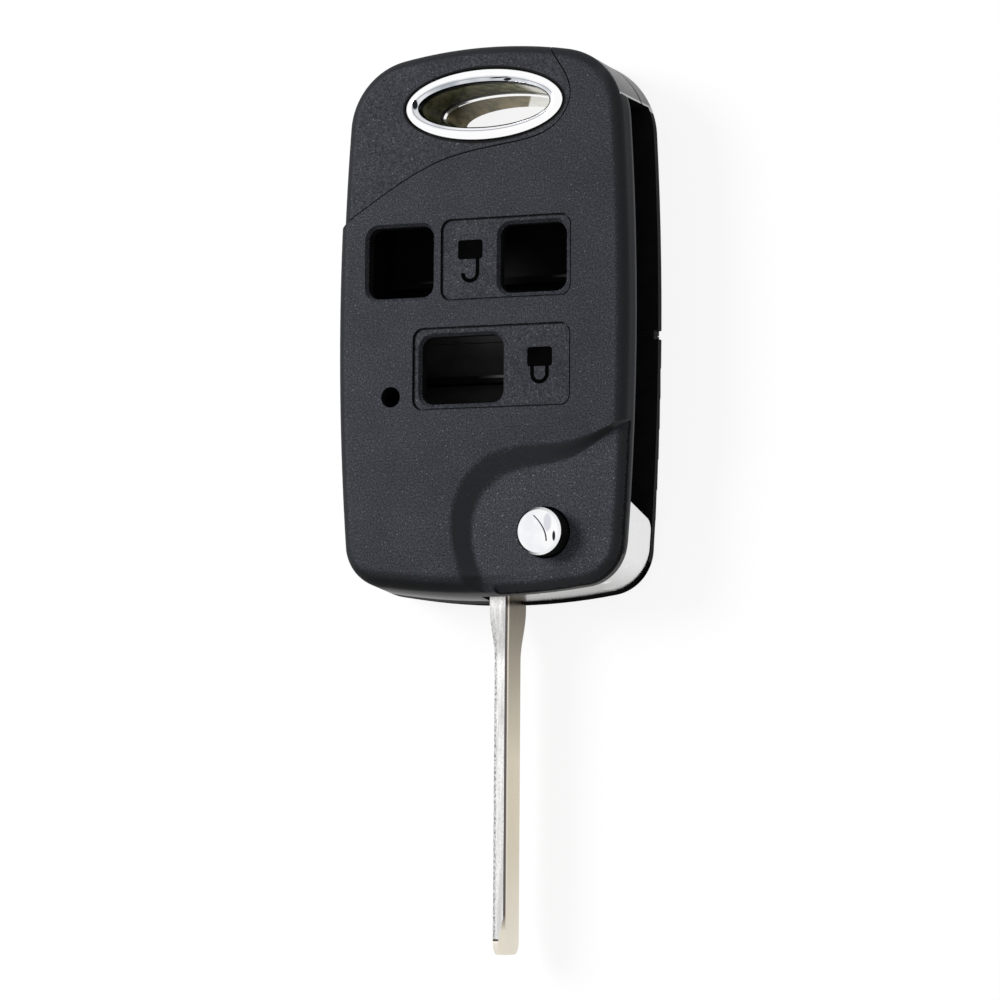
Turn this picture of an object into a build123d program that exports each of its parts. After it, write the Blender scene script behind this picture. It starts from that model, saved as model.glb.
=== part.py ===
"""Flip key remote shell, lying on its back with the blade out.

Row frame: millimetres, +Z up, the back of the case on Z = 0. The blade points along -Y and the
key-ring tunnel is at the +Y end. The blade folds round the button's axis into the slot on the
+X side. The origin is under the middle of the whole key.
"""
import os

from build123d import *

os.makedirs("parts", exist_ok=True)

# Case
case_length = 69.55
case_width = 39.4
case_depth = 13.0
middle_shift = 0.175
side_bow = 430.0
top_arch = 62.0
bottom_arch = 84.0
top_corner = 10.3
bottom_corner = 5.9
front_edge = 1.55
back_edge = 1.0
case_wall = 1.6
face_skin = 1.9
back_skin = 1.5
back_height = 4.4
divider_wall = 1.3
part_line_gap = 0.1

# What differs at the face from the case's outline at the part line
side_draft = 0.2
end_lean = 1.15
face_side_bow = 340.0
face_bottom_arch = 100.0
face_top_corner = 8.7
face_bottom_corner = 5.5

# Blade
blade_exposed = 43.65
neck_thickness = 2.1
neck_width = 6.8
neck_length = 0.65
taper_length = 6.5
stem_thickness = 1.35
stem_width = 5.2
tip_round = 1.5
tip_bevel_length = 4.6
tip_bevel_across = 0.95
tip_bevel_down = 2.0
tang_width = 4.3
tang_length = 6.0
tang_play = 0.03

# Pivot and flip head
pivot_x = 8.63
pivot_rise = 8.3
blade_offset = 7.46
hub_radius = 6.3
head_play = 0.2
head_inset = 0.05
head_lift = 0.3
head_reach = 11.0
head_shoulder = 3.75
head_cheek = 0.95
head_slope = 1.6
head_corner = 1.3
head_overlap = 1.9
collar_radius = 5.65
collar_height = 0.7
fit_play = 0.1
shoulder_rise = 2.95
pin_radius = 0.75
pin_length = 5.1
pin_drop = 1.7
pin_play = 0.02

# Blade slot and the hollow that the head turns in
slot_floor = 2.0
slot_gap = 7.4
slot_play = 0.4
slot_end_room = 2.1
mouth_play = 1.0
hollow_play = 0.3

# Release button, spring and spring cup
button_radius = 2.95
button_stand = 2.6
button_hole_play = 0.28
button_flange = 3.9
button_bore = 3.0
button_skirt = 5.1
button_web = 0.7
button_edge = 0.3
button_travel = 2.2
lug_radius = 4.8
lug_width = 1.6
lug_height = 1.2
lug_play = 0.15
key_room = 0.3
spring_wire = 0.3
spring_radius = 2.4
spring_turns = 5
cup_radius = 3.6
cup_floor = 0.6
cup_skin = 0.8
cup_spigot = 1.9
cup_spigot_height = 2.0

# Scoop round the button: its floor lies below the face, at the foot of a sloping flank
scoop_drop = 1.2
scoop_ease = [(0.1, 0.22), (0.9, 0.78)]
scoop_rim = [
    (13.5, 15.6), (8.4, 12.75), (2.4, 11.2), (-4.4, 10.9),
    (-9.9, 8.2), (-12.5, 2.6), (-11.9, -3.0), (-9.5, -10.5),
]
scoop_foot = [
    (13.5, 15.2), (8.2, 12.0), (2.6, 8.65), (-3.4, 7.6),
    (-8.0, 5.0), (-9.55, 0.9), (-8.8, -3.9), (-5.6, -10.5),
]

# Lowered field round the ring, bounded by a crease with a groove at its foot
field_drop = 0.3
field_shift = 0.25
groove_width = 0.25
groove_depth = 0.25
groove_share = 0.93
crease = [
    (-22.5, -16.6), (-14.4, -11.4), (-5.0, -6.7), (4.3, -5.1),
    (10.1, -2.9), (11.8, 0.7), (10.1, 4.9), (7.6, 9.0),
]

# Apertures, label panels and the light hole, from the middle of the case
left_hole = (-10.78, 7.67, 8.9, 9.0)
right_hole = (7.03, 7.53, 8.85, 8.6)
lower_hole = (-2.39, -6.11, 11.0, 8.5)
upper_panel = (3.5, 7.66, 17.5, 10.3)
lower_panel = (1.62, -5.93, 21.2, 10.4)
hole_round = 1.5
hole_rim = 0.4
panel_round = 1.4
panel_drop = 0.3
light_hole = (-11.93, -9.28)
light_radius = 1.3

# Key-ring tunnel and its two rings
ring_x = 0.3
ring_from_top = 7.5
ring_band = (10.7, 4.55)
ring_opening = (8.8, 2.8)
ring_wall = 0.8
ring_seat = 0.25
ring_stand = 0.35
ring_edge = 0.6
ring_play = 0.05
ledge_depth = 7.5
ledge_opening = (8.6, 2.6)
back_opening = (7.7, 2.35)
back_opening_shift = 0.45
back_band_height = 0.8
boss_wall = 1.3

# Back: split, board ribs, case screws
split_from_middle = 1.35
rim_width = 0.9
rim_play = 0.1
rim_rise = 1.0
rib_width = 0.9
rib_gap = 0.4
lid_rib_rise = 7.4
cover_rib_drop = 5.0
notch_width = 1.2
notch_depth = 0.6
low_screw = (5.9, 6.35)
high_screw = (5.1, 3.05)
post_radius = 2.5
screw_head_radius = 1.75
screw_head_height = 1.1
screw_head_sink = 0.15
screw_shank_radius = 0.85
screw_depth = 9.2
screw_play = 0.07
screw_clearance = 0.25
slot_drive_width = 0.45

# Places worked out from the sizes
total_length = case_length + blade_exposed
case_top = total_length / 2
case_bottom = case_top - case_length
case_middle = case_top - case_length / 2 + middle_shift
blade_tip = -total_length / 2
part_line = back_height
pivot_y = case_bottom + pivot_rise
pivot = (pivot_x, pivot_y)
blade_x = pivot_x - blade_offset
neck_end = case_bottom - neck_length
stem_start = neck_end - taper_length
shoulder = case_bottom + shoulder_rise - tang_play
blade_right = blade_x + neck_thickness / 2
blade_left = blade_x - neck_thickness / 2
cheek_left = blade_left - head_cheek
slot_top = slot_floor + slot_gap
slot_middle = (slot_top + slot_floor) / 2
slot_inner_x = pivot_x + blade_offset - neck_thickness / 2 - slot_play
slot_end = 2 * pivot_y - blade_tip + slot_end_room
mouth_x = blade_left - mouth_play
hollow_radius = head_reach + hollow_play
head_top = slot_top - head_play
head_floor = slot_floor + head_play
scoop_level = case_depth - scoop_drop
button_top = scoop_level + button_stand
flange_top = head_top + collar_height
ring_y = case_top - ring_from_top
field_level = case_depth - field_drop
ledge_level = case_depth - ledge_depth
split_y = case_middle - split_from_middle
screw_centres = [
    (low_screw[0] - case_width / 2, case_bottom + low_screw[1]),
    (high_screw[0] - case_width / 2, split_y - high_screw[1]),
]
outside = case_width


def face_share(level):
    """How far a level lies from the part line, 0, to the face, 1."""
    return (level - part_line) / (case_depth - part_line)


def outline(level, inset=0.0, share=0.0):
    """Case outline: four broad arcs with rounded corners, drawn in by its share of the draft."""
    half_width = case_width / 2 - side_draft * share
    bottom = case_bottom + end_lean * share
    bow = side_bow + (face_side_bow - side_bow) * share
    arch = bottom_arch + (face_bottom_arch - bottom_arch) * share
    high_corner = top_corner + (face_top_corner - top_corner) * share
    low_corner = bottom_corner + (face_bottom_corner - bottom_corner) * share
    with BuildSketch(Plane.XY.offset(level)) as plan:
        with Locations((bow - half_width, case_middle)):
            Circle(bow - inset)
        with Locations(Location((half_width - bow, case_middle), (0, 0, 180))):
            Circle(bow - inset, mode=Mode.INTERSECT)
        with Locations((0, case_top - top_arch)):
            Circle(top_arch - inset, mode=Mode.INTERSECT)
        with Locations((0, bottom + arch)):
            Circle(arch - inset, mode=Mode.INTERSECT)
        fillet(plan.vertices().sort_by(Axis.Y)[-2:], high_corner - inset)
        fillet(plan.vertices().sort_by(Axis.Y)[:2], low_corner - inset)
    return plan.sketch


def inner_outline(inset):
    """Outline that stays a wall's width inside the case up to the underside of the face."""
    return outline(0, inset, face_share(case_depth - face_skin))


def front_block(top_level, inset=0.0):
    """Block under the case outline, cut off at a level, with the front edge's rounding on top."""
    low = outline(part_line, inset)
    high = outline(case_depth, inset, 1)
    with BuildPart() as block:
        loft(sections=[low.face(), high.face()], ruled=True)
        if top_level < case_depth:
            split(bisect_by=Plane.XY.offset(top_level), keep=Keep.BOTTOM)
        fillet(block.faces().sort_by(Axis.Z)[-1].edges(), front_edge)
    return block.part


def scoop_plan(level, share):
    """Plan of the scoop at a level, whose flank is a share of the way from its foot to its rim."""
    flank = []
    for rim, foot in zip(scoop_rim, scoop_foot):
        x = foot[0] + (rim[0] - foot[0]) * share
        y = foot[1] + (rim[1] - foot[1]) * share
        flank.append((pivot_x + x, pivot_y + y))
    with BuildSketch(Plane.XY.offset(level)) as plan:
        with BuildLine():
            curve = Spline(*flank)
            corner = (outside, (curve @ 1).Y)
            Polyline(curve @ 1, corner, (outside, (curve @ 0).Y), curve @ 0)
        make_face()
    return plan.sketch


def scoop_cutter():
    """What the scoop takes off the front: all above its eased flank and its own rounded edge."""
    first, last = scoop_ease
    steps = [(-first[0], -first[1]), first, last, (1 + first[0], 1 + first[1])]
    with BuildPart() as flank:
        loft(
            sections=[scoop_plan(scoop_level + scoop_drop * rise, share).face() for rise, share in steps],
            ruled=True,
        )
        extrude(scoop_plan(scoop_level - 1.2 * front_edge, -first[1]), amount=1.2 * front_edge)
    return flank.part - front_block(scoop_level)


def crease_line():
    """The crease in plan, from the left side round the ring to the top."""
    return Spline(*[(ring_x + x, ring_y + y) for x, y in crease])


def skin_cutter(plan, drop, shift):
    """The thin skin over a plan, down to a drop below the face and a shift in from the left."""
    with BuildPart() as skin:
        extrude(plan, amount=case_depth)
    return skin.part - Pos(shift, 0, 0) * front_block(case_depth - drop)


def field_plan():
    """The field round the ring, on its side of the crease."""
    with BuildSketch(Plane.XY.offset(part_line)) as plan:
        with BuildLine():
            curve = crease_line()
            start = curve @ 0
            end = curve @ 1
            Polyline(end, (-outside, end.Y), (-outside, start.Y), start)
        make_face()
    return plan.sketch


def groove_plan():
    """The groove along the crease, on the field's side of it, which runs out short of the top."""
    with BuildSketch(Plane.XY.offset(part_line)) as plan:
        with BuildLine():
            add(crease_line().trim(0, groove_share))
        trace(line_width=2 * groove_width)
        add(field_plan(), mode=Mode.INTERSECT)
    return plan.sketch


def slot_plan(level):
    """Plan of the blade slot, its mouth in the lower end and the hollow for the head."""
    with BuildSketch(Plane.XY.offset(level)) as plan:
        with Locations(pivot):
            Circle(hollow_radius)
        with Locations((mouth_x, case_bottom - 1)):
            Rectangle(outside, pivot_rise / 2 + 1, align=Align.MIN)
        with Locations((slot_inner_x, case_bottom - 1)):
            Rectangle(outside, slot_end - case_bottom + 1, align=Align.MIN)
    return plan.sketch


def bay_plan(level):
    """Plan of the bay for the board: inside the walls, clear of hollow, slot, tunnel and posts."""
    with BuildSketch(Plane.XY.offset(level)) as plan:
        add(inner_outline(case_wall))
        with Locations((slot_inner_x - divider_wall, case_bottom)):
            Rectangle(outside, case_length, align=Align.MIN, mode=Mode.SUBTRACT)
        with Locations(pivot):
            Circle(hollow_radius + divider_wall, mode=Mode.SUBTRACT)
        with Locations((ring_x, ring_y)):
            Ellipse(
                ring_opening[0] + ring_wall + boss_wall,
                ring_opening[1] + ring_wall + boss_wall,
                mode=Mode.SUBTRACT,
            )
        with Locations(*screw_centres):
            Circle(post_radius, mode=Mode.SUBTRACT)
    return plan.sketch


def oval(level, size):
    """Oval of the key-ring tunnel at a level."""
    with BuildSketch(Plane.XY.offset(level)) as plan:
        with Locations((ring_x, ring_y)):
            Ellipse(size[0], size[1])
    return plan.sketch


def grown(size, amount):
    """Oval size grown by an amount all round."""
    return (size[0] + amount, size[1] + amount)


def blade_outline(plane, middle, neck, stem):
    """Blade from one side: neck, taper that flows into the stem, square tip."""
    with BuildSketch(plane) as plan:
        for side in (1, -1):
            with BuildLine():
                root = (shoulder, middle + side * neck / 2)
                first = (neck_end, middle + side * neck / 2)
                last = (stem_start, middle + side * stem / 2)
                Line(root, first)
                Spline(first, last, tangents=((-1, 0), (-1, 0)))
                Polyline(last, (blade_tip, last[1]), (blade_tip, middle), (shoulder, middle), root)
            make_face()
    return plan.sketch


def tip_bevel(side):
    """Plane that bevels one long edge towards the tip; the two are half a turn apart."""
    corner = Vector(blade_x + side * stem_thickness / 2, blade_tip, slot_middle + side * stem_width / 2)
    start = corner + Vector(0, tip_bevel_length, 0)
    across = corner - Vector(side * tip_bevel_across, 0, 0)
    down = corner - Vector(0, 0, side * tip_bevel_down)
    return Plane(origin=start, x_dir=across - start, z_dir=(across - start).cross(down - start))


sleeve_size = grown(ring_opening, ring_wall)

# Front cover: the deep half, with the face
front_shape = front_block(case_depth) - scoop_cutter()
front_shape -= skin_cutter(field_plan(), field_drop, field_shift)
front_shape -= skin_cutter(groove_plan(), field_drop + groove_depth, field_shift + groove_depth)
with BuildPart() as front_cover:
    add(front_shape)
    extrude(bay_plan(part_line), amount=case_depth - face_skin - part_line, mode=Mode.SUBTRACT)
    extrude(slot_plan(part_line), amount=slot_top - part_line, mode=Mode.SUBTRACT)
    with BuildSketch(Plane.XY.offset(slot_top)):
        with Locations(pivot):
            Circle(collar_radius + fit_play)
    extrude(amount=collar_height + head_play, mode=Mode.SUBTRACT)
    with BuildSketch(Plane.XY.offset(slot_top)):
        with Locations(pivot):
            Circle(button_radius + button_hole_play)
    extrude(amount=case_depth, mode=Mode.SUBTRACT)
    extrude(oval(0, grown(sleeve_size, ring_play)), amount=2 * case_depth, mode=Mode.SUBTRACT)
    seat = oval(field_level - ring_seat, grown(ring_band, 2 * ring_play))
    extrude(seat, amount=1, mode=Mode.SUBTRACT)
    for x, y, width, height in (upper_panel, lower_panel):
        with BuildSketch(Plane.XY.offset(case_depth)):
            with Locations((x, case_middle + y)):
                RectangleRounded(width, height, panel_round)
        extrude(amount=-panel_drop, mode=Mode.SUBTRACT)
        with BuildSketch(Plane.XY.offset(case_depth - panel_drop)):
            with Locations((x, case_middle + y)):
                RectangleRounded(width, height, panel_round)
                RectangleRounded(
                    width - 2 * groove_width,
                    height - 2 * groove_width,
                    panel_round - groove_width,
                    mode=Mode.SUBTRACT,
                )
        extrude(amount=-groove_depth, mode=Mode.SUBTRACT)
    for hole, drop in ((left_hole, 0), (right_hole, panel_drop), (lower_hole, panel_drop)):
        x, y, width, height = hole
        with BuildSketch(Plane.XY.offset(case_depth - drop)):
            with Locations((x, case_middle + y)):
                RectangleRounded(width, height, hole_round)
        extrude(amount=-face_skin, mode=Mode.SUBTRACT)
        with BuildSketch(Plane.XY.offset(case_depth - drop)):
            with Locations((x, case_middle + y)):
                RectangleRounded(width + 2 * hole_rim, height + 2 * hole_rim, hole_round + hole_rim)
        extrude(amount=-hole_rim, taper=45, mode=Mode.SUBTRACT)
    with BuildSketch(Plane.XY.offset(case_depth)):
        with Locations((light_hole[0], case_middle + light_hole[1])):
            Circle(light_radius)
    extrude(amount=-face_skin, mode=Mode.SUBTRACT)
    with BuildSketch(Plane.XY.offset(part_line)):
        with Locations(*screw_centres):
            Circle(screw_shank_radius + screw_play)
    extrude(amount=screw_depth + screw_head_sink - part_line + 0.5, mode=Mode.SUBTRACT)
front_cover.part.label = "front_cover"
export_step(front_cover.part, "parts/front_cover.step")

# Back of the case before it is split into the rear cover and the board lid
with BuildPart() as back_shape:
    extrude(outline(0), amount=back_height)
    fillet(back_shape.faces().sort_by(Axis.Z)[0].edges(), back_edge)
    extrude(bay_plan(back_skin), amount=back_height, mode=Mode.SUBTRACT)
    with BuildSketch(Plane.XY.offset(back_skin)):
        add(bay_plan(0))
        with Locations((0, split_y + lid_rib_rise), (0, split_y - cover_rib_drop)):
            Rectangle(outside, rib_width, mode=Mode.INTERSECT)
    extrude(amount=back_height - back_skin - rib_gap)
    with BuildSketch(Plane.XY.offset(back_skin)):
        add(bay_plan(0))
        add(inner_outline(case_wall + rim_width), mode=Mode.SUBTRACT)
    extrude(amount=back_height - back_skin)
    with BuildSketch(Plane.XY.offset(back_height)):
        add(bay_plan(0))
        add(inner_outline(case_wall + rim_play), mode=Mode.INTERSECT)
        add(inner_outline(case_wall + rim_width), mode=Mode.SUBTRACT)
    extrude(amount=rim_rise)
    extrude(slot_plan(slot_floor), amount=back_height, mode=Mode.SUBTRACT)
    with BuildSketch():
        with Locations((outside / 2 + case_width / 2 - notch_depth, split_y)):
            Rectangle(outside, notch_width)
    extrude(amount=slot_floor, mode=Mode.SUBTRACT)

# Rear cover: holds the mechanism and the screws
with BuildPart() as rear_cover:
    add(back_shape.part)
    split(bisect_by=Plane.XZ.offset(-split_y + part_line_gap), keep=Keep.TOP)
    with BuildSketch(Plane.XY.offset(slot_floor)):
        with Locations(pivot):
            Circle(collar_radius + fit_play)
    extrude(amount=-collar_height - head_play / 2, mode=Mode.SUBTRACT)
    with BuildSketch(Plane.XY.offset(cup_skin)):
        with Locations(pivot):
            Circle(cup_radius + fit_play)
    extrude(amount=slot_floor, mode=Mode.SUBTRACT)
    with BuildSketch():
        with Locations(*screw_centres):
            Circle(screw_head_radius + screw_clearance)
    extrude(amount=screw_head_sink + screw_head_height, mode=Mode.SUBTRACT)
    with BuildSketch():
        with Locations(*screw_centres):
            Circle(screw_shank_radius + screw_clearance)
    extrude(amount=back_height, mode=Mode.SUBTRACT)
rear_cover.part.label = "rear_cover"
export_step(rear_cover.part, "parts/rear_cover.step")

# Board lid: the upper half of the back, with the rear end of the tunnel
with BuildPart() as board_lid:
    add(back_shape.part)
    split(bisect_by=Plane.XZ.offset(-split_y), keep=Keep.BOTTOM)
    extrude(oval(0, grown(sleeve_size, ring_play)), amount=back_height, mode=Mode.SUBTRACT)
    seat = oval(0, grown(ring_band, 2 * ring_play))
    extrude(seat, amount=back_band_height + ring_play, mode=Mode.SUBTRACT)
board_lid.part.label = "board_lid"
export_step(board_lid.part, "parts/board_lid.step")

# Front ring: domed oval band and the sleeve down to the ledge
with BuildPart() as front_ring:
    extrude(oval(field_level - ring_seat, ring_band), amount=ring_seat + ring_stand)
    extrude(oval(ledge_level, sleeve_size), amount=field_level - ledge_level)
    opening = oval(ledge_level, ring_opening)
    extrude(opening, amount=case_depth, mode=Mode.SUBTRACT)
    chamfer(front_ring.edges().group_by(Axis.Z)[-1], ring_edge / 2)
front_ring.part.label = "front_ring"
export_step(front_ring.part, "parts/front_ring.step")

# Rear ring: flush band, and the narrower tunnel that leaves the ledge
with BuildPart() as rear_ring:
    extrude(oval(0, ring_band), amount=back_band_height)
    extrude(oval(0, sleeve_size), amount=ledge_level - ring_play)
    ledge = oval(ledge_level, ledge_opening)
    with BuildSketch() as mouth:
        with Locations((ring_x, ring_y - back_opening_shift)):
            Ellipse(back_opening[0], back_opening[1])
    loft(sections=[mouth.sketch.face(), ledge.face()], mode=Mode.SUBTRACT)
rear_ring.part.label = "rear_ring"
export_step(rear_ring.part, "parts/rear_ring.step")

# Flip head: hub round the button, cheeks round the tang and the skin that closes the corner
with BuildPart() as head_limit:
    low = Pos(0, head_lift, 0) * outline(head_floor, head_inset)
    high = Pos(0, head_lift, 0) * outline(head_top, head_inset, face_share(head_top))
    loft(sections=[low.face(), high.face()], ruled=True)
with BuildPart() as flip_head:
    with BuildSketch(Plane.XY.offset(head_floor)):
        with Locations(pivot):
            Circle(hub_radius)
        with BuildLine():
            Polyline(
                (cheek_left, pivot_y + 1.2),
                (cheek_left, case_bottom + shoulder_rise),
                (blade_right, case_bottom + shoulder_rise),
                (blade_right, case_bottom - 1),
                (outside, case_bottom - 1),
                (outside, pivot_y + head_shoulder),
                (pivot_x, pivot_y + head_shoulder),
                close=True,
            )
        make_face()
    extrude(amount=head_top - head_floor)
    add(head_limit.part, mode=Mode.INTERSECT)
    with BuildSketch(Plane.YZ.offset(pivot_x + hub_radius - head_overlap)):
        with BuildLine():
            apex = pivot_y + head_shoulder
            low_edge = apex - head_slope - head_corner
            bend = Vector(apex - head_slope, head_floor + head_corner)
            Line((apex, head_top), bend)
            TangentArc(bend, (low_edge, head_floor), tangent=bend - Vector(apex, head_top))
            Polyline((low_edge, head_floor), (apex, head_floor), (apex, head_top))
        make_face()
    extrude(amount=outside, mode=Mode.SUBTRACT)
    with BuildSketch(Plane.XY.offset(head_floor - collar_height)):
        with Locations(pivot):
            Circle(collar_radius)
    extrude(amount=head_top - head_floor + 2 * collar_height)
    with BuildSketch(Plane.XY.offset(head_floor - collar_height)):
        with Locations(pivot):
            Circle(button_flange + 2 * fit_play)
    extrude(amount=case_depth, mode=Mode.SUBTRACT)
    with BuildSketch(Plane.XY.offset(flange_top)):
        with Locations(pivot):
            Rectangle(2 * (lug_radius + lug_play), lug_width + 2 * lug_play)
    extrude(amount=-(lug_height + button_travel + key_room), mode=Mode.SUBTRACT)
    with BuildSketch(Plane.XZ.offset(-case_bottom - shoulder_rise)):
        with Locations((blade_x, slot_middle)):
            Rectangle(neck_thickness + 2 * tang_play, tang_width + 2 * tang_play)
    extrude(amount=-tang_length - tang_play, mode=Mode.SUBTRACT)
    with BuildSketch(Plane.YZ.offset(cheek_left - 1)):
        with Locations((pivot_y - pin_drop, slot_middle)):
            Circle(pin_radius + pin_play)
    extrude(amount=pin_length + 1, mode=Mode.SUBTRACT)
flip_head.part.label = "flip_head"
export_step(flip_head.part, "parts/flip_head.step")

# Key blade: tang, full-width neck, tapered stem and bevelled tip
with BuildPart() as key_blade:
    side_on = blade_outline(Plane.YZ.offset(blade_left), slot_middle, neck_width, stem_width)
    extrude(side_on, amount=neck_thickness)
    edge_on = blade_outline(Plane.YX.offset(-slot_top), blade_x, neck_thickness, stem_thickness)
    extrude(edge_on, amount=slot_gap, mode=Mode.INTERSECT)
    tip_edges = key_blade.edges().filter_by(Axis.X).group_by(Axis.Y)[0]
    fillet(tip_edges, tip_round)
    for side in (1, -1):
        split(bisect_by=tip_bevel(side), keep=Keep.BOTTOM)
    with BuildSketch(Plane.XZ.offset(-case_bottom)):
        with Locations((blade_x, slot_middle)):
            Rectangle(neck_thickness, tang_width)
    extrude(amount=-shoulder_rise - tang_length)
    with BuildSketch(Plane.YZ.offset(blade_left)):
        with Locations((pivot_y - pin_drop, slot_middle)):
            Circle(pin_radius + pin_play)
    extrude(amount=neck_thickness, mode=Mode.SUBTRACT)
key_blade.part.label = "key_blade"
export_step(key_blade.part, "parts/key_blade.step")

# Blade pin: slotted roll pin across the tang
with BuildPart() as blade_pin:
    with BuildSketch(Plane.YZ.offset(cheek_left)):
        with Locations((pivot_y - pin_drop, slot_middle)):
            Circle(pin_radius)
            Circle(pin_radius / 2, mode=Mode.SUBTRACT)
    extrude(amount=pin_length - pin_play)
blade_pin.part.label = "blade_pin"
export_step(blade_pin.part, "parts/blade_pin.step")

# Release button: cap, skirt that holds the spring, and two lugs keyed in the head
with BuildPart() as release_button:
    with BuildSketch(Plane.XY.offset(flange_top)):
        with Locations(pivot):
            Circle(button_radius)
    extrude(amount=button_top - flange_top)
    chamfer(release_button.edges().group_by(Axis.Z)[-1], button_edge)
    with BuildSketch(Plane.XY.offset(flange_top)):
        with Locations(pivot):
            Circle(button_flange)
    extrude(amount=-button_skirt)
    with BuildSketch(Plane.XY.offset(flange_top)):
        with Locations(pivot):
            Rectangle(2 * lug_radius, lug_width)
    extrude(amount=-lug_height)
    with BuildSketch(Plane.XY.offset(flange_top - button_skirt)):
        with Locations(pivot):
            Circle(button_bore)
    extrude(amount=button_skirt - button_web, mode=Mode.SUBTRACT)
release_button.part.label = "release_button"
export_step(release_button.part, "parts/release_button.step")

# Spring cup: seated in the rear cover under the spring
with BuildPart() as spring_cup:
    with BuildSketch(Plane.XY.offset(cup_skin)):
        with Locations(pivot):
            Circle(cup_radius)
    extrude(amount=slot_floor - cup_skin)
    with BuildSketch(Plane.XY.offset(cup_skin + cup_floor)):
        with Locations(pivot):
            Circle(spring_radius + 2 * spring_wire)
    extrude(amount=case_depth, mode=Mode.SUBTRACT)
    with BuildSketch(Plane.XY.offset(cup_skin + cup_floor)):
        with Locations(pivot):
            Circle(cup_spigot)
    extrude(amount=cup_spigot_height)
spring_cup.part.label = "spring_cup"
export_step(spring_cup.part, "parts/spring_cup.step")

# Flip spring: from the cup's floor to the top of the button's bore
spring_low = cup_skin + cup_floor + 2 * spring_wire
spring_high = flange_top - button_web - 2 * spring_wire
with BuildPart() as flip_spring:
    with BuildLine():
        coil = Helix(
            pitch=(spring_high - spring_low) / spring_turns,
            height=spring_high - spring_low,
            radius=spring_radius,
            center=(pivot_x, pivot_y, spring_low),
        )
    with BuildSketch(Plane(origin=coil @ 0, z_dir=coil % 0)):
        RegularPolygon(spring_wire, 6)
    sweep()
flip_spring.part.label = "flip_spring"
export_step(flip_spring.part, "parts/flip_spring.step")

# Case screws: from the back, through the rear cover into the posts of the front cover
with BuildPart() as case_screws:
    with BuildSketch(Plane.XY.offset(screw_head_sink)):
        with Locations(*screw_centres):
            Circle(screw_head_radius)
    extrude(amount=screw_head_height)
    with BuildSketch(Plane.XY.offset(screw_head_sink)):
        with Locations(*screw_centres):
            Circle(screw_shank_radius)
    extrude(amount=screw_depth)
    with BuildSketch(Plane.XY.offset(screw_head_sink)):
        with Locations(*screw_centres):
            Rectangle(2 * screw_head_radius - 1, slot_drive_width)
            Rectangle(slot_drive_width, 2 * screw_head_radius - 1)
    extrude(amount=screw_head_height / 2, mode=Mode.SUBTRACT)
case_screws.part.label = "case_screws"
export_step(case_screws.part, "parts/case_screws.step")
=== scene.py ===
"""Looks of the flip key remote shell, in metres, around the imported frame."""

import math

import bmesh
import bpy
from mathutils import Matrix, Vector


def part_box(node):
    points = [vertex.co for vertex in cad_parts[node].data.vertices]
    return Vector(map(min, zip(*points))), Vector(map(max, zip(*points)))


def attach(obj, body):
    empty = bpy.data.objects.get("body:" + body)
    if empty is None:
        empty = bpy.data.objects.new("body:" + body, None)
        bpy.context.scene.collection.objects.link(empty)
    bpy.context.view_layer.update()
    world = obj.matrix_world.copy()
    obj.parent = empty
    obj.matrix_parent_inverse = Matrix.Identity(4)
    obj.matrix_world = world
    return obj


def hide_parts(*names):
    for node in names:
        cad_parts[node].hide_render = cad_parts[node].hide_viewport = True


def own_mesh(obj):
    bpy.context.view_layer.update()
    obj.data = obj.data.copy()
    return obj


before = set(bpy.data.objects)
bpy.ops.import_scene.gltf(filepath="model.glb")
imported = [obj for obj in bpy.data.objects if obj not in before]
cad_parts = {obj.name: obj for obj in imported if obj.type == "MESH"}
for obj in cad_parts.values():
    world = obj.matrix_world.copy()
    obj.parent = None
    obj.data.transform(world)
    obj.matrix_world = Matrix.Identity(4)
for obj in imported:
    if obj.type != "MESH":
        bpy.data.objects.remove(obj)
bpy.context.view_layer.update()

MM = 0.001

# Camera, measured in the photograph
CAMERA_PLACE = Vector((187.2, -41.7, 455.9)) * MM
CAMERA_RIGHT = Vector((0.9235, 0.0069, -0.3834))
CAMERA_UP = Vector((0.0264, 0.9963, 0.0815))
CAMERA_LENS = 140.4
SENSOR_WIDTH = 36.0
VIEW_END = 10.0

# Floor and light
FLOOR_SIZE = 3.0
FLOOR_GLOW_SHARE = 0.88
WORLD_LIGHT = 0.55
LAMP_PLACE = Vector((-0.55, 0.25, 0.6))
LAMP_TARGET = Vector((0, 0.02, 0))
LAMP_SIZE = 0.35
LAMP_POWER = 7.0

# Levels and places of the case, read off the frame
PART_LINE, FACE_LEVEL = (corner.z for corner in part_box("front_cover"))
CASE_LOW, CASE_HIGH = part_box("rear_cover")[0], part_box("board_lid")[1]
CASE_MIDDLE = (CASE_LOW + CASE_HIGH) / 2
RING_LOW, RING_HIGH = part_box("front_ring")
RING_MIDDLE = (RING_LOW + RING_HIGH) / 2
RING_HALF = (RING_HIGH - RING_LOW) / 2
BUTTON_LOW, BUTTON_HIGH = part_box("release_button")
PIVOT = (BUTTON_LOW + BUTTON_HIGH) / 2

# The face: area of the windows, depth of the scoop, how the painted light falls off across the face, the
# painted dark band of shade along the lower arch, the slot's lip and its painted highlight
WINDOWS_ACROSS = (-16.5 * MM, 13 * MM)
WINDOWS_ALONG = (10.5 * MM, 35.5 * MM)
SCOOP_LEVELS = (FACE_LEVEL - 1.1 * MM, FACE_LEVEL - 0.8 * MM)
LIGHT_FALLOFF_ACROSS = (-16 * MM, 16 * MM)
ARCH_RADIUS = 100 * MM
ARCH_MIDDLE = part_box("front_cover")[0].y + 1.15 * MM + ARCH_RADIUS
LOW_SHADE_BAND = (1.2 * MM, 2.2 * MM)
LOW_SHADE_ACROSS = (-4 * MM, 6 * MM)
EDGE_HEIGHT = 2 * MM
LIP_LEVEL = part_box("flip_head")[1].z - 0.2 * MM
LIP_HIGHLIGHT_FADE = 0.3 * MM
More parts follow.
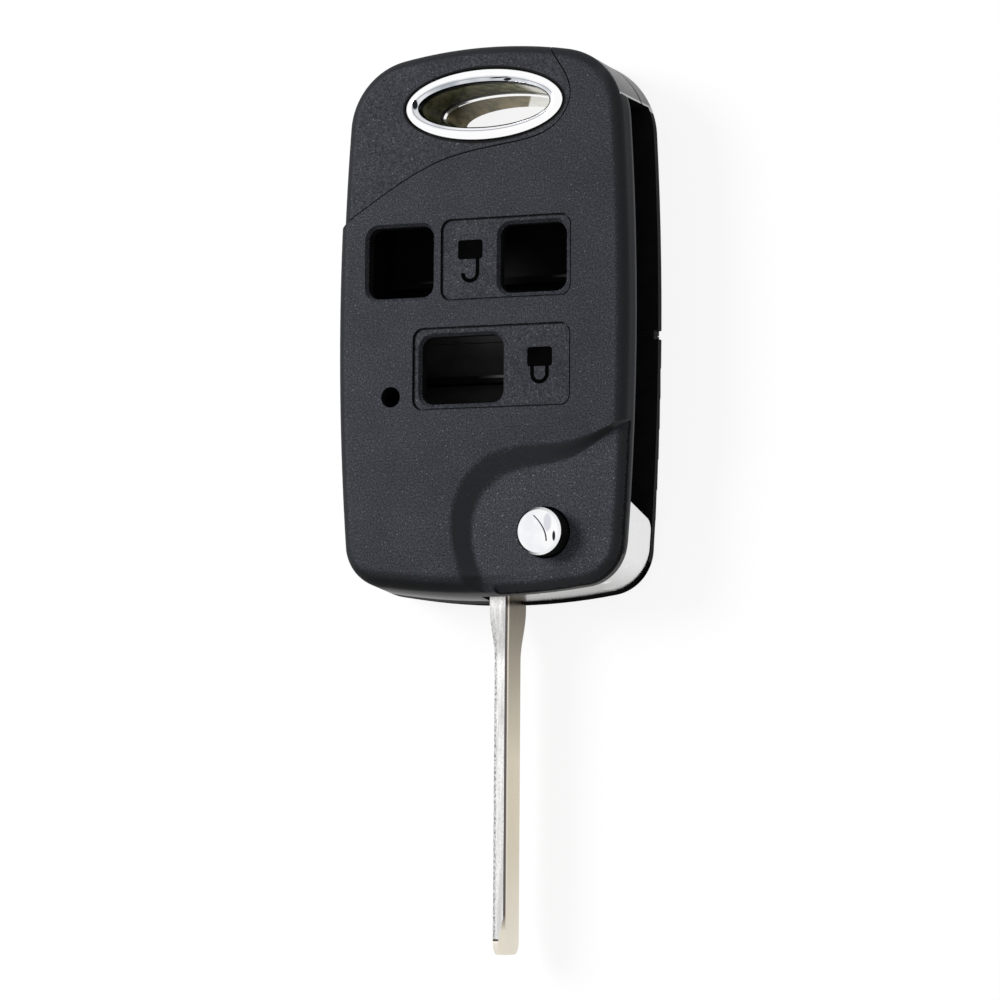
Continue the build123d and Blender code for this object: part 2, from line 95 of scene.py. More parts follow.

# The button's flange, the hub of the head under it, painted black as shade in the button's hole, and the
# steepest edge that is shaded smooth
FLANGE_LEVEL = FACE_LEVEL - 2.5 * MM
SHADED_HUB_RADIUS = 6.0 * MM
SOFT_ANGLE = math.radians(38)

# The end walls: the seam of the part line, the painted reflection band over it with painted shade below the
# band, the cut where the slot ends
SEAM_HALF = 0.2 * MM
REFLECTION_START, REFLECTION_PEAK, REFLECTION_FADE = PART_LINE + 1.8 * MM, PART_LINE + 2.4 * MM, PART_LINE + 7.6 * MM
SLOT_CUT = (49.75 * MM, 49.65 * MM)

# Faces by place: how deep an outer wall and the back's skin may lie, the ribs, the floor under them
WALL_REACH = 4.6 * MM
BACK_SKIN = 0.2 * MM
RIB_REACH = 4 * MM
RIB_LEVEL = PART_LINE - 0.6 * MM
RIB_TOLERANCE = 0.5 * MM
FLOOR_LEVEL = 2.0 * MM
LOWER_ROOM_END = 22 * MM

# Faces by normal: how far it points up on the face side, on the back, on a flat and on an upright face,
# how far it looks out from the middle, and how far an end wall's looks along the case
FACE_SIDE, BACK_SIDE, FLAT, UPRIGHT = 0.15, -0.7, 0.9, 0.25
LOOKS_OUT = 0.25
LOOKS_ALONG = 0.3

# The thin painted highlight line that stands for each window's light on a rib: middle of the rib, dark end,
# bright end, brightness
RIB_LIGHTS = (
    (28.05 * MM, -12.5 * MM, -7.5 * MM, 0.07),
    (28.05 * MM, 6.0 * MM, 10.0 * MM, 0.18),
    (15.65 * MM, -4.0 * MM, 1.0 * MM, 0.18),
)
RIB_LINE = (0.1 * MM, 0.55 * MM)
RIB_LINE_TAIL = 2 * MM

# The key-ring tunnel and its ring
BAND_INNER = Vector((8.8, 2.8)) * MM
BAND_RISE = 0.6 * MM
BAND_REFLECTION_LINE = 0.42
BLUISH_REFLECTION_TOP = (RING_MIDDLE.y - 1 * MM, RING_MIDDLE.y + 2 * MM)
BLUISH_REFLECTION_LEFT = (RING_MIDDLE.x - 3 * MM, RING_MIDDLE.x - 6.5 * MM)
LEFT_SHADE_ACROSS = (RING_MIDDLE.x - 7 * MM, RING_MIDDLE.x + 2 * MM)
SLEEVE_SHARE = 0.44
SLEEVE_LEVELS = (RING_LOW.z + 0.5 * MM, RING_HIGH.z - 1.7 * MM)
SLEEVE_PALE = (3.3 * MM, 5.0 * MM)
LOWER_LEVELS = (-1 * MM, RING_LOW.z - 0.3 * MM)
LOWER_PALE = (0.75 * MM, 1.0 * MM)
LOWER_LEAN = 0.49
LEVEL_FADE = 0.25 * MM
# Width of the painted shadow on the face round the ring
RING_SHADOW_WIDTH = 0.3 * MM
LEDGE_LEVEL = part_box("rear_ring")[1].z
LEDGE_OUTER = Vector((8.78, 2.78)) * MM
LEDGE_WIDTH = 0.42 * MM
LEDGE_SLOPE = 0.32
RING_STEPS = 128
DOME_STEPS = 14

# The blade's sides: the painted shade at the root and how they pale towards the tip, the taper from neck to
# stem, the painted shade line and highlight below the edge
BLADE_LOW, BLADE_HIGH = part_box("key_blade")
ROOT_SHADE = (CASE_LOW.y, CASE_LOW.y + 0.45 * (BLADE_LOW.y - CASE_LOW.y))
TIP_PALE = (BLADE_LOW.y + 13 * MM, BLADE_LOW.y + 2 * MM)
ARRIS_SHADE_END = (BLADE_LOW.y + 3 * MM, BLADE_LOW.y + 5 * MM)
TAPER_START = CASE_LOW.y - 0.65 * MM
TAPER_END = TAPER_START - 6.5 * MM
TAPER_DROP = 0.8 * MM
ARRIS_SHADE_DROP = 0.75 * MM
HIGHLIGHT_DROP = 1.2 * MM
DROP_FADE = 0.15 * MM

# The blade's top: the band on its left, the ground tip and the dark notch of painted shade where that starts
BLADE_LEFT = BLADE_LOW.x + 0.375 * MM
LEFT_BAND = (BLADE_LEFT + 0.25 * MM, BLADE_LEFT + 0.35 * MM)
TIP_START = BLADE_LOW.y + 1.7 * MM
TIP_FADE = 0.1 * MM
TIP_NOTCH = 0.3 * MM
TIP_NOTCH_ACROSS = (BLADE_LEFT + 1.1 * MM, BLADE_LEFT + 0.6 * MM)

# Painted dark reflections on the ring and on the button: middle and half widths of each spot
RING_REFLECTION_SPOTS = (
    (Vector((-8.95, 49.65)) * MM, Vector((0.34, 0.65)) * MM),
    (Vector((3.6, 52.02)) * MM, Vector((0.55, 0.17)) * MM),
    (Vector((2.5, 52.3)) * MM, Vector((1.3, 0.08)) * MM),
)
BUTTON_REFLECTION_SPOT = (Vector((10.75, -5.3)) * MM, Vector((0.2, 0.62)) * MM)
BUTTON_REFLECTION_PATCH = (Vector((9.9, -3.6)) * MM, Vector((0.5, 1.1)) * MM)

# The bowed line of painted reflection on the button: its lower end, bow per metre, middle and half length
# along y, half width
LINE_END = Vector((9.75, -5.9)) * MM
LINE_BOW = 165.0
LINE_MIDDLE = -4.3 * MM
LINE_HALF = 1.6 * MM
LINE_FADE = 0.1 * MM
LINE_EDGES = (0.13 * MM, 0.06 * MM)

# Marks on the label panels
PANEL_LEVEL = FACE_LEVEL - 0.3 * MM
OPEN_MARK = Vector((-1.35, 29.7, 0)) * MM
CLOSED_MARK = Vector((8.05, 15.9, 0)) * MM
MARK_LIFT = 0.8 * MM
MARK_LINE = 0.5 * MM
MARK_RISE = 0.02 * MM
MARK_BODY = Vector((3.3, 2.4)) * MM
MARK_ROUND = 0.35 * MM
SHACKLE_RADIUS = 0.3 * MARK_BODY.x
SHACKLE_DROP = 0.95 * MM
SHACKLE_OVERLAP = 0.1 * MM
SHACKLE_TAIL = 0.01 * MM

# Which of a cover's materials a face takes
OUTSIDE, INSIDE, END_WALL, RIB_TOP, FLOOR = range(5)

BLACK = (0.001, 0.001, 0.001)


class Value:
    """A number or colour that varies over a surface: a node's output, open to arithmetic."""

    def __init__(self, tree, socket):
        self.tree = tree
        self.socket = socket

    def __add__(self, other):
        return maths(self.tree, "ADD", self, other)

    def __sub__(self, other):
        return maths(self.tree, "SUBTRACT", self, other)

    def __rsub__(self, other):
        return maths(self.tree, "SUBTRACT", other, self)

    def __mul__(self, other):
        return maths(self.tree, "MULTIPLY", self, other)

    def __truediv__(self, other):
        return maths(self.tree, "DIVIDE", self, other)

    def __rtruediv__(self, other):
        return maths(self.tree, "DIVIDE", other, self)

    def __pow__(self, power):
        return maths(self.tree, "POWER", self, power)

    def __abs__(self):
        return maths(self.tree, "ABSOLUTE", self)


def give(value, target):
    """Link a value to a node's input, or write a number or a plain colour on it."""
    if isinstance(value, Value):
        value.tree.links.new(value.socket, target)
    elif isinstance(value, tuple):
        target.default_value = (*value, 1)
    else:
        target.default_value = value


def maths(tree, operation, *values):
    """A maths node on values and plain numbers."""
    node = tree.nodes.new("ShaderNodeMath")
    node.operation = operation
    for value, target in zip(values, node.inputs):
        give(value, target)
    return Value(tree, node.outputs[0])


def largest(first, *others):
    """The largest of several values and plain numbers."""
    for other in others:
        first = maths(first.tree, "MAXIMUM", first, other)
    return first


def root(value):
    """The square root of a value."""
    return maths(value.tree, "SQRT", value)


def spread(value, low, high, to_low=0.0, to_high=1.0):
    """The value's stretch from low to high, brought to another range and held at its ends."""
    node = value.tree.nodes.new("ShaderNodeMapRange")
    give(value, node.inputs["Value"])
    for name, number in (("From Min", low), ("From Max", high), ("To Min", to_low), ("To Max", to_high)):
        node.inputs[name].default_value = number
    return Value(value.tree, node.outputs["Result"])


def between(value, low, high):
    """1 where the value lies between two bounds, 0 outside, with narrow edges."""
    edge = 0.05 * MM
    return spread(value, low, low + edge) * spread(value, high, high - edge)


def blend(share, first, second):
    """Colour from the first to the second, by a share."""
    node = share.tree.nodes.new("ShaderNodeMix")
    node.data_type = "RGBA"
    give(share, node.inputs["Factor"])
    colors = [socket for socket in node.inputs if socket.type == "RGBA"]
    give(first, colors[0])
    give(second, colors[1])
    return Value(share.tree, [socket for socket in node.outputs if socket.type == "RGBA"][0])


def scaled(color, factor):
    """The colour, made brighter or darker by a factor."""
    node = color.tree.nodes.new("ShaderNodeVectorMath")
    node.operation = "SCALE"
    give(color, node.inputs[0])
    give(factor, node.inputs["Scale"])
    return Value(color.tree, node.outputs["Vector"])


def object_place(tree, stretch=(1, 1, 1)):
    """Object coordinates, in metres, stretched along the axes."""
    source = tree.nodes.new("ShaderNodeTexCoord")
    mapping = tree.nodes.new("ShaderNodeMapping")
    mapping.inputs["Scale"].default_value = stretch
    tree.links.new(source.outputs["Object"], mapping.inputs["Vector"])
    return mapping.outputs["Vector"]


def vector_parts(tree, vector):
    """The x, y and z of a vector output."""
    node = tree.nodes.new("ShaderNodeSeparateXYZ")
    tree.links.new(vector, node.inputs[0])
    return [Value(tree, output) for output in node.outputs]


def position(tree):
    """The x, y and z of the object coordinates."""
    return vector_parts(tree, object_place(tree))


def facing(tree):
    """The x, y and z of the surface's normal, in the object's frame."""
    return vector_parts(tree, tree.nodes.new("ShaderNodeTexCoord").outputs["Normal"])


def noise(tree, scale, detail=2.0, roughness=0.5, stretch=(1, 1, 1)):
    """A noise texture on the object's coordinates; scale is in repeats per metre."""
    texture = tree.nodes.new("ShaderNodeTexNoise")
    texture.inputs["Scale"].default_value = scale
    texture.inputs["Detail"].default_value = detail
    texture.inputs["Roughness"].default_value = roughness
    tree.links.new(object_place(tree, stretch), texture.inputs["Vector"])
    return Value(tree, texture.outputs["Fac"])


def new_material(name):
    """A material with an empty node tree but for its shader and output."""
    material = bpy.data.materials.new(name)
    material.use_nodes = True
    tree = material.node_tree
    tree.nodes.clear()
    output = tree.nodes.new("ShaderNodeOutputMaterial")
    shader = tree.nodes.new("ShaderNodeBsdfPrincipled")
    tree.links.new(shader.outputs["BSDF"], output.inputs["Surface"])
    return material, tree, shader


def paint(shader, color, roughness, metallic=0.0, specular=0.5):
    """The look of a surface; what is constant is written on the shader's own inputs."""
    give(color, shader.inputs["Base Color"])
    give(roughness, shader.inputs["Roughness"])
    give(metallic, shader.inputs["Metallic"])
    shader.inputs["Specular IOR Level"].default_value = specular


def bump(shader, height, distance, strength):
    """Fine relief from a value, of a depth in metres."""
    tree = height.tree
    node = tree.nodes.new("ShaderNodeBump")
    node.inputs["Strength"].default_value = strength
    node.inputs["Distance"].default_value = distance
    give(height, node.inputs["Height"])
    tree.links.new(node.outputs["Normal"], shader.inputs["Normal"])


def oval_reach(x, y, half):
    """Distance from the ring's middle, 1 on the oval with those half widths."""
    return root(((x - RING_MIDDLE.x) / half.x) ** 2 + ((y - RING_MIDDLE.y) / half.y) ** 2)


def oval_distance(x, y, half):
    """How far a place lies outside an oval round the ring's middle, along the line from there."""
    reach = root((x - RING_MIDDLE.x) ** 2 + (y - RING_MIDDLE.y) ** 2)
    return reach * (1.0 - 1.0 / oval_reach(x, y, half))


def spot(x, y, middle, half):
    """1 inside an oval spot, 0 outside, with a soft edge."""
    return spread(((x - middle.x) / half.x) ** 2 + ((y - middle.y) / half.y) ** 2, 1.3, 0.7)


def charcoal_grain(tree, grain):
    """Light grain over a dark ground, both drifting in colour, with small bright flecks."""
    tint = spread(noise(tree, 3400, detail=1.0), 0.35, 0.65)
    ground = blend(tint, (0.006, 0.011, 0.014), (0.013, 0.009, 0.015))
    cloud = spread(noise(tree, 200), 0.3, 0.7)
    light = blend(cloud, (0.048, 0.052, 0.062), (0.064, 0.068, 0.079))
    grainy = blend(spread(grain, 0.36, 0.76), ground, light)
    fleck = spread(noise(tree, 4300, detail=1.0), 0.66, 0.78)
    return blend(fleck, grainy, (0.125, 0.128, 0.14))


def low_end_painted_light(x, y):
    """Painted light at the face's lower end: painted shade darkens it along the arched edge, less so to the
    right.
    """
    inset = ARCH_RADIUS - root(x ** 2 + (y - ARCH_MIDDLE) ** 2)
    return largest(spread(inset, *LOW_SHADE_BAND), spread(x, *LOW_SHADE_ACROSS, 0.3, 0.85))


def charcoal_plastic():
    """Fine-textured moulded plastic, without grain in its colour where it tilts, with painted light and
    shade: painted shade on the tilted rim and where it turns from the lamp, a painted shadow round the ring,
    a painted dark band at the lower end, painted light on the scoop's floor and a painted highlight on the
    slot's lip.
    """
    material, tree, shader = new_material("charcoal_plastic")
    x, y, z = position(tree)
    across, along, up = facing(tree)
    grain = noise(tree, 5000, roughness=0.6)
    away = (across - along) * 0.7
    windows = between(x, *WINDOWS_ACROSS) * between(y, *WINDOWS_ALONG)
    # Painted light: brighter on the scoop's floor, and falling off from left to right across the face
    painted_light = spread(z, *SCOOP_LEVELS, 1.3, 1.0) * spread(x, *LIGHT_FALLOFF_ACROSS, 1.08, 0.95)
    tilted = spread(up, 0.998, 0.92, 0.0, 0.85) * (1.0 - windows)
    # Painted shade on the tilted rim: a colour without grain, darker where the rim faces the lamp than where
    # it turns from it
    smooth = blend(spread(away, -0.05, 0.05), (0.013, 0.014, 0.016), (0.026, 0.028, 0.031))
    color = blend(tilted, scaled(charcoal_grain(tree, grain), painted_light), smooth)
    # Painted shade where the face turns from the lamp, held lighter in the windows' area
    lit = largest(spread(away, 0.02, 0.22, 1.0, 0.61), windows * 0.62)
    # A painted shadow in a thin band round the ring
    clear_of_ring_shadow = spread(oval_distance(x, y, RING_HALF), RING_SHADOW_WIDTH, 1.3 * RING_SHADOW_WIDTH)
    shaded = blend(lit * clear_of_ring_shadow * low_end_painted_light(x, y), BLACK, color)
    # A painted highlight along the slot's lip, on faces that look right
    lip = spread(z, LIP_LEVEL + LIP_HIGHLIGHT_FADE, LIP_LEVEL) * spread(across, 0.7, 0.9)
    lip_highlighted = blend(lip, shaded, (0.085, 0.087, 0.092))
    paint(shader, lip_highlighted, spread(grain, 0.2, 0.8, 0.5, 0.64), specular=0.07)
    bump(shader, grain, 0.03 * MM, 0.5)
    return material


def charcoal_side():
    """Smoother end walls of the same plastic: on the lower one a painted reflection band over a dark strip
    of painted shade, on the upper the seam and painted light on the cut, near black painted shade where a
    wall turns into a corner away from the right.
    """
    material, tree, shader = new_material("charcoal_side")
    x, y, z = position(tree)
    along = facing(tree)[1]
    ripple = noise(tree, 900, detail=3.0)
    rippled = spread(ripple, 0.3, 0.7)
    upper_end = spread(along, -0.2, 0.2)
    off_seam = spread(abs(z - PART_LINE), SEAM_HALF, 1.3 * SEAM_HALF)
    # On the lower wall, a painted reflection of the white floor in a band, with painted shade below it by
    # the part line
    band = spread(z, REFLECTION_START, REFLECTION_PEAK) * spread(z, REFLECTION_FADE, REFLECTION_PEAK, 0.1, 1.0)
    gloss = off_seam * upper_end + band * (1.0 - upper_end)
    # The painted reflection's grey on the lower wall, and the darker colour of the upper wall
    lower = blend(rippled, (0.085, 0.085, 0.086), (0.105, 0.105, 0.106))
    upper = blend(rippled, (0.012, 0.012, 0.013), (0.020, 0.020, 0.021))
    right = spread(x, RING_MIDDLE.x, PIVOT.x)
    # Painted light on the cut where the slot ends, at the right of the upper wall
    cut = spread(y, *SLOT_CUT) * right * upper_end
    pale = blend(cut, blend(upper_end, lower, upper), (0.45, 0.45, 0.45))
    # Painted shade, near black, where a wall turns into a corner away from the right
    off_corner = largest(spread(abs(along), 0.35, 0.8), right)
    color = blend(off_corner, (0.002, 0.003, 0.005), blend(gloss, BLACK, pale))
    roughness = 1.0 - gloss * off_corner * spread(ripple, 0.2, 0.8, 0.7, 0.6)
    paint(shader, color, roughness, specular=0.62)
    bump(shader, ripple, 0.02 * MM, 0.3)
    return material


def black_plastic(name, low, high, gloss, specular):
    """Smooth black plastic with a faint moulding ripple."""
    material, tree, shader = new_material(name)
    ripple = noise(tree, 420)
    color = blend(spread(ripple, 0.3, 0.7), (low,) * 3, (high,) * 3)
    paint(shader, color, spread(ripple, 0.2, 0.8, gloss, gloss + 0.1), specular=specular)
    bump(shader, ripple, 0.02 * MM, 0.3)
    return material


def rib_plastic():
    """Top of a rib inside: a thin painted highlight line on it stands for the light from each window, more
    so to the right.
    """
    material, tree, shader = new_material("rib_plastic")
    x, y, _ = position(tree)
    ripple = noise(tree, 420)
    lights = []
    for middle, dark_end, bright_end, bright in RIB_LIGHTS:
        line = between(y, middle + RIB_LINE[0], middle + RIB_LINE[1])
        near = between(x, dark_end, bright_end + RIB_LINE_TAIL)
        lights.append(line * near * spread(x, dark_end, bright_end, 0.0, bright))
    color = blend(largest(*lights), (0.004, 0.004, 0.004), (0.98, 1.0, 0.98))
    paint(shader, color, spread(ripple, 0.2, 0.8, 0.6, 0.7), specular=0.03)
    return material


def plated(name, low, high, roughness, depth=0.01 * MM):
    """Plated metal: colour and gloss drift a little, and the surface ripples."""
    material, tree, shader = new_material(name)
    ripple = noise(tree, 500, detail=3.0)
    color = blend(spread(ripple, 0.3, 0.7), low, high)
    paint(shader, color, spread(ripple, 0.2, 0.8, roughness * 0.75, roughness * 1.25), metallic=1.0)
    bump(shader, ripple, depth, 0.4)
    return material


def ring_chrome():
    """Bright domed chrome with painted reflections: white outside, a bluish one inside at the top and left,
    a thin grey line between, a dark line along the inner edge and dark spots.
    """
    material, tree, shader = new_material("ring_chrome")
    x, y, _ = position(tree)
    drift = noise(tree, 300)
    inner = oval_reach(x, y, BAND_INNER)
    share = (inner - 1.0) / (inner - oval_reach(x, y, RING_HALF))
    # Painted reflection: bluish grey on the inner half at the top and left, and a thin grey line
    top = spread(y, *BLUISH_REFLECTION_TOP)
    left = spread(x, *BLUISH_REFLECTION_LEFT, 0.0, 0.7)
    bluish = blend(spread(drift, 0.35, 0.65), (0.36, 0.39, 0.43), (0.80, 0.82, 0.85))
    inside = blend(largest(top, left), (0.90, 0.90, 0.92), bluish)
    pale = blend(spread(share, BAND_REFLECTION_LINE, 0.6), inside, (0.97, 0.97, 0.98))
    reflection_lined = blend(spread(abs(share - BAND_REFLECTION_LINE), 0.02, 0.05), (0.34, 0.35, 0.38), pale)
    # Painted dark reflections: a line along the inner edge and a few spots
    spots = [spot(x, y, middle, half) for middle, half in RING_REFLECTION_SPOTS]
    dark = largest(spread(share, 0.1, 0.07), *spots)
    color = blend(dark, reflection_lined, (0.015, 0.016, 0.020))
    paint(shader, color, spread(drift, 0.2, 0.8, 0.05, 0.1), metallic=1.0)
    return material


def tunnel_metal(name, low, high, levels, pale, lean=0.0, metallic=0.0):
    """Tunnel wall: a painted reflection, mottled olive brown, between two levels, with painted shade darker
    at the left and near black beyond the levels; bright metal at the right.
    """
    material, tree, shader = new_material(name)
    x, _, z = position(tree)
    streak = noise(tree, 620, detail=5.0, roughness=0.7, stretch=(1, 1, 0.5))
    # Painted reflection of a dark surrounding, mottled olive brown, with painted shade darker towards the
    # left
    olive = blend(spread(streak, 0.42, 0.6), low, high)
    left_shaded = blend(spread(x, *LEFT_SHADE_ACROSS, 0.4, 1.0), (0.004, 0.004, 0.002), olive)
    share = spread(x - z * lean, RING_MIDDLE.x + pale[0], RING_MIDDLE.x + pale[1])
    color = blend(share, left_shaded, (0.90, 0.89, 0.84))
    inside = spread(z, levels[0] - LEVEL_FADE, levels[0]) * spread(z, levels[1] + LEVEL_FADE, levels[1])
    # Painted shade, near black, beyond the two levels
    shade_edged = blend(inside, (0.002, 0.002, 0.002), color)
    roughness = spread(streak, 0.2, 0.8, 0.35, 0.5)
    paint(shader, shade_edged, roughness, metallic=largest(share, metallic) * inside, specular=0.04)
    return material


def button_chrome():
    """Mirror-bright cap with the thin dark line, the spot and the patch that it reflects, all painted
    reflections.
    """
    material, tree, shader = new_material("button_chrome")
    x, y, _ = position(tree)
    drift = noise(tree, 350)
    pale = blend(spread(drift, 0.4, 0.6), (0.86, 0.87, 0.90), (0.97, 0.97, 0.97))
    # Painted reflections: a grey patch, a bowed dark line and a dark spot
    reflection_patched = blend(spot(x, y, *BUTTON_REFLECTION_PATCH), pale, (0.70, 0.70, 0.76))
    middle = LINE_END.x - (y - LINE_END.y) ** 2 * LINE_BOW
    beyond = spread(abs(y - LINE_MIDDLE), LINE_HALF, LINE_HALF + LINE_FADE)
    line = spread(abs(x - middle) + beyond * MM, *LINE_EDGES)
    color = blend(largest(line, spot(x, y, *BUTTON_REFLECTION_SPOT)), reflection_patched, (0.02, 0.02, 0.03))
    paint(shader, color, spread(drift, 0.2, 0.8, 0.05, 0.08), metallic=1.0)
    return material


def button_rim():
    """The cap's bevelled edge, with painted shade and light: dark on the left, bright on the right."""
    material, tree, shader = new_material("button_rim")
    drift = noise(tree, 600)
    pale = blend(spread(drift, 0.3, 0.7), (0.80, 0.81, 0.84), (0.95, 0.95, 0.96))
    color = blend(spread(facing(tree)[0], -0.35, 0.1), (0.03, 0.03, 0.04), pale)
    paint(shader, color, spread(drift, 0.2, 0.8, 0.3, 0.4), metallic=1.0)
    return material


def head_silver():
    """Satin silver, with painted shade: paler on the side that faces right than on the lower end."""
    material, tree, shader = new_material("head_silver")
    ripple = noise(tree, 500, detail=3.0)
    satin_shaded = blend(spread(facing(tree)[0], 0.2, 0.9), (0.44, 0.435, 0.43), (0.86, 0.86, 0.86))
    color = blend(spread(ripple, 0.62, 0.75), satin_shaded, (0.90, 0.90, 0.90))
    paint(shader, color, spread(ripple, 0.2, 0.8, 0.24, 0.34), metallic=1.0)
    bump(shader, ripple, 0.01 * MM, 0.4)
    return material


def blade_side(y, z):
    """The blade's sides: warm and dark with painted shade at the root and paler towards the tip, a painted
    shade line along the top edge with a painted highlight line below it.
    """
    # Painted shade of the case at the root
    stem = blend(spread(y, *ROOT_SHADE), (0.104, 0.084, 0.055), (0.65, 0.58, 0.45))
    side = blend(spread(y, *TIP_PALE), stem, (0.76, 0.71, 0.60))
    top_edge = spread(y, TAPER_END, TAPER_START, BLADE_HIGH.z - TAPER_DROP, BLADE_HIGH.z)
    top_edge.socket.node.interpolation_type = "SMOOTHSTEP"
    below = top_edge - z
    # Under the top edge, a painted shade line and below it a painted highlight line
    edge_highlight = blend(spread(below, HIGHLIGHT_DROP, HIGHLIGHT_DROP + DROP_FADE), (0.76, 0.70, 0.58), side)
    arris_shade = blend(spread(below, ARRIS_SHADE_DROP, ARRIS_SHADE_DROP + DROP_FADE), (0.045, 0.028, 0.025), edge_highlight)
    return blend(spread(y, *ARRIS_SHADE_END), side, arris_shade)


def blade_top(tree, x, y, drawn):
    """The blade's narrow top: bright and speckled, a grey band on the stem's left, a ground tip."""
    scratch = noise(tree, 5000, detail=3.0, stretch=(1, 0.5, 1))
    speckle = noise(tree, 7000, stretch=(1, 0.35, 1))
    bright = blend(spread(drawn, 0.3, 0.6), (0.54, 0.535, 0.525), (0.68, 0.68, 0.67))
    flecked = blend(spread(speckle, 0.36, 0.5), (0.52, 0.51, 0.50), bright)
    worn = blend(spread(scratch, 0.68, 0.74), flecked, (0.42, 0.41, 0.40))
    grey = blend(spread(speckle, 0.4, 0.6), (0.22, 0.22, 0.22), (0.62, 0.62, 0.62))
    neck = spread(y, TAPER_START, TAPER_END, 1.0, 0.0)
    banded = blend(largest(spread(x, *LEFT_BAND), neck), grey, worn)
    tipped = blend(spread(y, TIP_START + TIP_FADE, TIP_START), banded, (0.78, 0.74, 0.66))
    # Painted shade of a notch where the ground tip starts
    notch = between(y, TIP_START, TIP_START + TIP_NOTCH) * spread(x, *TIP_NOTCH_ACROSS)
    return blend(notch, tipped, (0.05, 0.045, 0.04))


def blade_nickel():
    """Drawn nickel, with lines along the blade."""
    material, tree, shader = new_material("blade_nickel")
    x, y, z = position(tree)
    drawn = noise(tree, 2600, detail=3.0, stretch=(1, 0.06, 1))
    color = blend(spread(facing(tree)[2], 0.5, 0.8), blade_side(y, z), blade_top(tree, x, y, drawn))
    paint(shader, color, spread(drawn, 0.2, 0.8, 0.2, 0.3), metallic=1.0)
    bump(shader, drawn, 0.01 * MM, 0.3)
    return material


def seen_rays(tree):
    """1 for camera, glossy and transmission rays, else 0."""
    rays = tree.nodes.new("ShaderNodeLightPath").outputs
    kinds = [Value(tree, rays[name]) for name in ("Is Camera Ray", "Is Glossy Ray", "Is Transmission Ray")]
    return largest(*kinds)


def white_floor():
    """White table: a pale surface that still takes the object's shadow."""
    material, tree, shader = new_material("white_floor")
    color = blend(noise(tree, 40), (0.9, 0.9, 0.9), (0.93, 0.93, 0.93))
    paint(shader, color, 0.9, specular=0.0)
    glow = tree.nodes.new("ShaderNodeEmission")
    glow.inputs["Strength"].default_value = 1.0
    mix = tree.nodes.new("ShaderNodeMixShader")
    give(seen_rays(tree) * FLOOR_GLOW_SHARE, mix.inputs[0])
    tree.links.new(shader.outputs["BSDF"], mix.inputs[1])
    tree.links.new(glow.outputs["Emission"], mix.inputs[2])
    output = [node for node in tree.nodes if node.type == "OUTPUT_MATERIAL"][0]
    tree.links.new(mix.outputs["Shader"], output.inputs["Surface"])
    return material


def make_world():
    """Even light for the object, and white for what sees the background."""
    world = bpy.data.worlds.new("studio")
    bpy.context.scene.world = world
    world.use_nodes = True
    background = world.node_tree.nodes["Background"]
    background.inputs["Color"].default_value = (1, 1, 1, 1)
    give(spread(seen_rays(world.node_tree), 0, 1, WORLD_LIGHT, 1.0), background.inputs["Strength"])


def add_object(name, data):
    """An object in the scene, from a mesh, a camera or a light."""
    item = bpy.data.objects.new(name, data)
    bpy.context.scene.collection.objects.link(item)
    return item


def make_camera():
    camera = bpy.data.cameras.new("camera")
    camera.lens = CAMERA_LENS
    camera.sensor_width = SENSOR_WIDTH
    camera.clip_end = VIEW_END
    eye = add_object("camera", camera)
    right = CAMERA_RIGHT.normalized()
    back = right.cross(CAMERA_UP).normalized()
    turn = Matrix((right, back.cross(right), back)).transposed()
    eye.matrix_world = Matrix.Translation(CAMERA_PLACE) @ turn.to_4x4()
    bpy.context.scene.camera = eye


def make_floor():
    mesh = bpy.data.meshes.new("floor")
    half = FLOOR_SIZE / 2
    corners = [(-half, -half, 0), (half, -half, 0), (half, half, 0), (-half, half, 0)]
    mesh.from_pydata(corners, [], [(0, 1, 2, 3)])
    floor = add_object("floor", mesh)
    mesh.materials.append(white_floor())


def make_lamp():
    light = bpy.data.lights.new("key_light", "AREA")
    light.shape = "DISK"
    light.size = LAMP_SIZE
    light.energy = LAMP_POWER
    lamp = add_object("key_light", light)
    lamp.location = LAMP_PLACE
    lamp.rotation_euler = (LAMP_TARGET - LAMP_PLACE).to_track_quat("-Z", "Y").to_euler()


def dress(node, material):
    """Give a node as it is one material."""
    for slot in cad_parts[node].material_slots:
        slot.material = material


def dressed_copy(node, body, materials, choose):
    """A copy of a node's mesh whose faces take the material that choose picks by place and normal."""
    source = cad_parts[node]
    mesh = source.data.copy()
    mesh.materials.clear()
    for material in materials:
        mesh.materials.append(material)
    for face in mesh.polygons:
        face.material_index = choose(face.center, face.normal)
    piece = add_object("dressed_" + node, mesh)
    piece.matrix_world = source.matrix_world
    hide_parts(node)
    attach(piece, body)
    return piece


def add_piece(name, shape, materials, body):
    """An object of its own from a bmesh, riding on a body."""
    mesh = bpy.data.meshes.new(name)
    shape.to_mesh(mesh)
    shape.free()
    for material in materials:
        mesh.materials.append(material)
    piece = add_object(name, mesh)
    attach(piece, body)
    return piece


def smooth_shade(piece):
    """Smooth shading over all but the steep edges."""
    piece.data.shade_smooth()
    piece.data.set_sharp_from_angle(angle=SOFT_ANGLE)


def soften(piece):
    """Smooth shading over the shallow edges, with the flats kept flat."""
    mesh = piece.data
    welded = bmesh.new()
    welded.from_mesh(mesh)
    bmesh.ops.remove_doubles(welded, verts=welded.verts, dist=0.001 * MM)
    welded.to_mesh(mesh)
    welded.free()
    if "custom_normal" in mesh.attributes:
        mesh.attributes.remove(mesh.attributes["custom_normal"])
    smooth_shade(piece)
    weights = piece.modifiers.new("weights", "WEIGHTED_NORMAL")
    weights.keep_sharp = True


